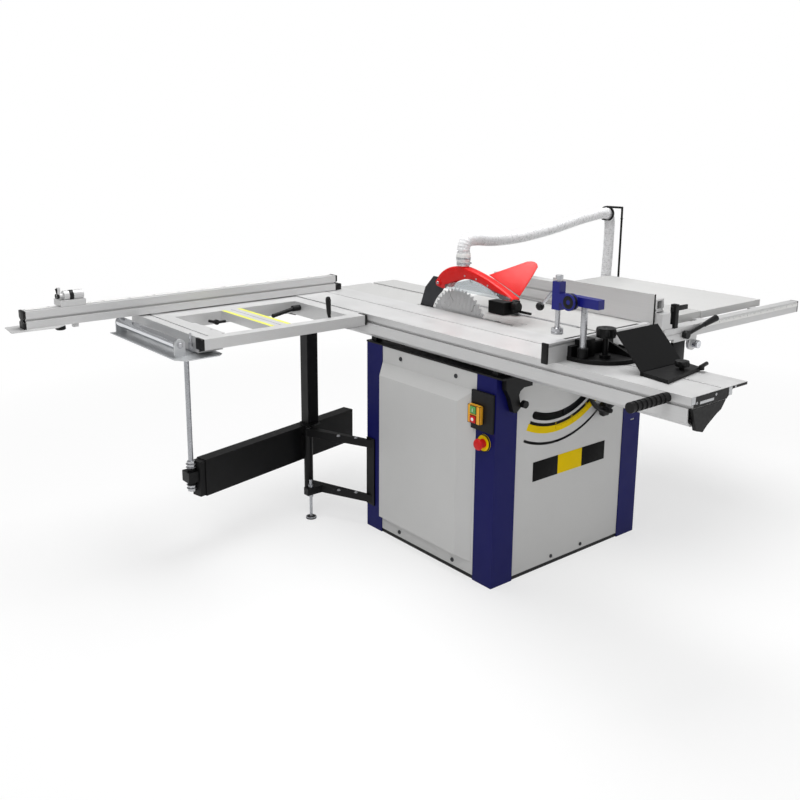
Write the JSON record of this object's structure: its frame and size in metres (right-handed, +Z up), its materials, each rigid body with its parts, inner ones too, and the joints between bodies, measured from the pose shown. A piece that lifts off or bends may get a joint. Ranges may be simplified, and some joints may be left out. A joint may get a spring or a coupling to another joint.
{
  "type": "sliding table saw",
  "caption": "Sliding table saw with a tilting blade unit, scoring blade, outrigger on a swing arm, rip fence, crosscut fence, hold-down and overhead dust hose on a steel cabinet.",
  "frame": {"origin": "on the floor, at the centre of the cabinet footprint", "axes": "+Z up; +Y away from the operator; +X to the right of the operator, toward the rip fence"},
  "size_m": [2.88, 2.024, 1.1944],
  "materials": {
    "navy_paint": "satin",
    "grey_paint": "satin",
    "cast_table": "satin",
    "aluminium": "satin",
    "black_paint": "satin",
    "black_plastic": "satin",
    "steel": "satin",
    "chrome": "satin",
    "red_guard": "satin",
    "clear_shield": "satin",
    "hose_plastic": "satin",
    "blue_paint": "satin",
    "inner_iron": "satin",
    "yellow_plastic": "satin",
    "green_plastic": "satin",
    "red_plastic": "satin"
  },
  "bodies": {
    "frame": {"corner_posts": "navy_paint", "cabinet_frame": "black_paint", "left_panel": "grey_paint", "side_cover": "grey_paint", "right_panel": "grey_paint", "front_panel": "grey_paint", "back_panel": "grey_paint", "main_table": "cast_table", "table_insert": "cast_table", "extension_table": "grey_paint", "rear_table": "cast_table", "trunnion_shoes": "inner_iron", "dust_hopper": "black_paint", "switch_box": "black_plastic", "fence_rail": "aluminium", "slide_beam": "aluminium", "beam_end_caps": "black_plastic", "arm_bracket": "black_paint", "levelling_foot": "steel", "front_casting": "black_paint", "hose_hanger": "black_paint", "dust_hose": "hose_plastic"},
    "tilt": {"tilt_cradle": "inner_iron"},
    "tilt_lock": {"tilt_lock_knob": "black_plastic"},
    "lift": {"lift_slide": "inner_iron", "saw_motor": "inner_iron", "riving_knife": "steel"},
    "arbor": {"saw_arbor": "steel", "saw_blade": "steel"},
    "motor_shaft": {"motor_pulley": "steel"},
    "scoring": {"scoring_blade": "steel"},
    "guard": {"blade_guard": "red_guard", "guard_shields": "clear_shield"},
    "height_wheel": {"height_handwheel": "black_plastic"},
    "tilt_wheel": {"tilt_handwheel": "black_plastic"},
    "start": {"start_button": "green_plastic"},
    "stop": {"stop_button": "red_plastic"},
    "estop": {"estop_button": "red_plastic"},
    "rip_fence": {"fence_carrier": "aluminium", "fence_beam": "aluminium", "fence_face": "aluminium"},
    "rip_lever": {"fence_lever": "black_plastic"},
    "adjuster": {"fine_adjust_knob": "chrome"},
    "gauge": {"gauge_bar": "steel"},
    "gauge_swivel": {"gauge_head": "black_paint"},
    "carriage": {"carriage_top": "aluminium", "push_handle": "black_plastic", "outrigger_frame": "aluminium", "roller_plate": "steel"},
    "roller": {"support_roller": "chrome"},
    "clamp": {"clamp_lever": "black_plastic"},
    "xfence": {"crosscut_fence": "aluminium"},
    "stop_block": {"flip_stop": "aluminium"},
    "ffence": {"fence_base": "black_paint", "front_fence": "aluminium"},
    "hold": {"hold_down": "blue_paint"},
    "press": {"hold_down_spindle": "steel"},
    "shoe": {"edge_shoe": "black_paint"},
    "arm": {"swing_arm": "black_paint"},
    "arm_inner": {"arm_slide": "black_paint"}
  },
  "joints": [
    {"name": "blade_tilt", "type": "hinge", "parent": "frame", "child": "tilt", "pos_m": [-0.09, 0, 0.86], "axis": [0, 1, 0], "range_deg": [0, 45], "deforming": ["dust_hose"]},
    {"name": "tilt_lock_turn", "type": "hinge", "parent": "tilt", "child": "tilt_lock", "pos_m": [0.14826, -0.37, 0.55504], "axis": [0, 1, 0], "continuous": true},
    {"name": "blade_lift", "type": "slide", "parent": "tilt", "child": "lift", "axis": [0, 0, 1], "range_m": [-0.06, 0.004], "deforming": ["dust_hose"]},
    {"name": "blade_spin", "type": "hinge", "parent": "lift", "child": "arbor", "pos_m": [-0.105, 0.15, 0.7975], "axis": [1, 0, 0], "continuous": true},
    {"name": "motor_spin", "type": "hinge", "parent": "lift", "child": "motor_shaft", "pos_m": [0, 0.17, 0.58], "axis": [1, 0, 0], "continuous": true},
    {"name": "scoring_spin", "type": "hinge", "parent": "tilt", "child": "scoring", "pos_m": [-0.105, -0.065, 0.813], "axis": [1, 0, 0], "continuous": true},
    {"name": "guard_hinge", "type": "hinge", "parent": "lift", "child": "guard", "pos_m": [-0.105, 0.246, 0.967], "axis": [1, 0, 0], "range_deg": [-30, 0], "deforming": ["dust_hose"]},
    {"name": "height_wheel_turn", "type": "hinge", "parent": "tilt", "child": "height_wheel", "pos_m": [0.11861, -0.4, 0.65855], "axis": [0, 1, 0], "continuous": true},
    {"name": "tilt_wheel_turn", "type": "hinge", "parent": "frame", "child": "tilt_wheel", "pos_m": [0.424, -0.1, 0.56], "axis": [1, 0, 0], "continuous": true},
    {"name": "start_press", "type": "slide", "parent": "frame", "child": "start", "axis": [1, 0, 0], "range_m": [0, 0.002], "stiffness_N_per_m": 400},
    {"name": "stop_press", "type": "slide", "parent": "frame", "child": "stop", "axis": [1, 0, 0], "range_m": [0, 0.002], "stiffness_N_per_m": 400},
    {"name": "estop_press", "type": "slide", "parent": "frame", "child": "estop", "axis": [1, 0, 0], "range_m": [0, 0.0015]},
    {"name": "rip_fence_slide", "type": "slide", "parent": "frame", "child": "rip_fence", "axis": [1, 0, 0], "range_m": [-0.2, 0.7]},
    {"name": "rip_lever_lift", "type": "hinge", "parent": "rip_fence", "child": "rip_lever", "pos_m": [0.449, -0.492, 0.812], "axis": [0, 1, 0], "range_deg": [-70, 0]},
    {"name": "adjuster_turn", "type": "hinge", "parent": "rip_fence", "child": "adjuster", "pos_m": [0.508, -0.495, 0.77], "axis": [0, 1, 0], "continuous": true},
    {"name": "gauge_slide", "type": "slide", "parent": "frame", "child": "gauge", "axis": [0, 1, 0], "range_m": [-0.3, 0.25]},
    {"name": "gauge_swivel_turn", "type": "hinge", "parent": "gauge", "child": "gauge_swivel", "pos_m": [0.057, 0.06, 0.87], "axis": [0, 0, 1], "range_deg": [-15, 15]},
    {"name": "carriage_slide", "type": "slide", "parent": "frame", "child": "carriage", "axis": [0, 1, 0], "range_m": [-0.9, 0]},
    {"name": "roller_spin", "type": "hinge", "parent": "carriage", "child": "roller", "pos_m": [-1.155, 0.627, 0.84], "axis": [0, 1, 0], "continuous": true},
    {"name": "clamp_turn", "type": "hinge", "parent": "carriage", "child": "clamp", "pos_m": [-0.49, 0.7, 0.838], "axis": [1, 0, 0], "range_deg": [-40, 40]},
    {"name": "crosscut_swivel", "type": "hinge", "parent": "carriage", "child": "xfence", "pos_m": [-0.3, 0.845, 0.87], "axis": [0, 0, 1], "range_deg": [0, 20]},
    {"name": "stop_block_slide", "type": "slide", "parent": "xfence", "child": "stop_block", "axis": [1, 0, 0], "range_m": [-0.04, 0.05]},
    {"name": "front_fence_swivel", "type": "hinge", "parent": "carriage", "child": "ffence", "pos_m": [-0.255, -0.674, 0.87], "axis": [0, 0, 1], "range_deg": [-15, 45]},
    {"name": "hold_down_swing", "type": "hinge", "parent": "ffence", "child": "hold", "pos_m": [-0.333, -0.65, 0.95], "axis": [0, 0, 1], "range_deg": [-30, 30]},
    {"name": "hold_down_press", "type": "slide", "parent": "hold", "child": "press", "axis": [0, 0, 1], "range_m": [-0.007, 0.04]},
    {"name": "shoe_slide", "type": "slide", "parent": "carriage", "child": "shoe", "axis": [0, 1, 0], "range_m": [-0.09, 0.04]},
    {"name": "arm_swing", "type": "hinge", "parent": "frame", "child": "arm", "pos_m": [-0.505, 0.6, 0.23], "axis": [0, 0, 1], "range_deg": [0, 55]},
    {"name": "arm_extend", "type": "slide", "parent": "arm", "child": "arm_inner", "axis": [-0.9767, -0.2147, 0], "range_m": [0, 0.45]}
  ],
  "couplings": [
    {"joint": "motor_spin", "follows": "blade_spin", "ratio": 0.625}
  ]
}
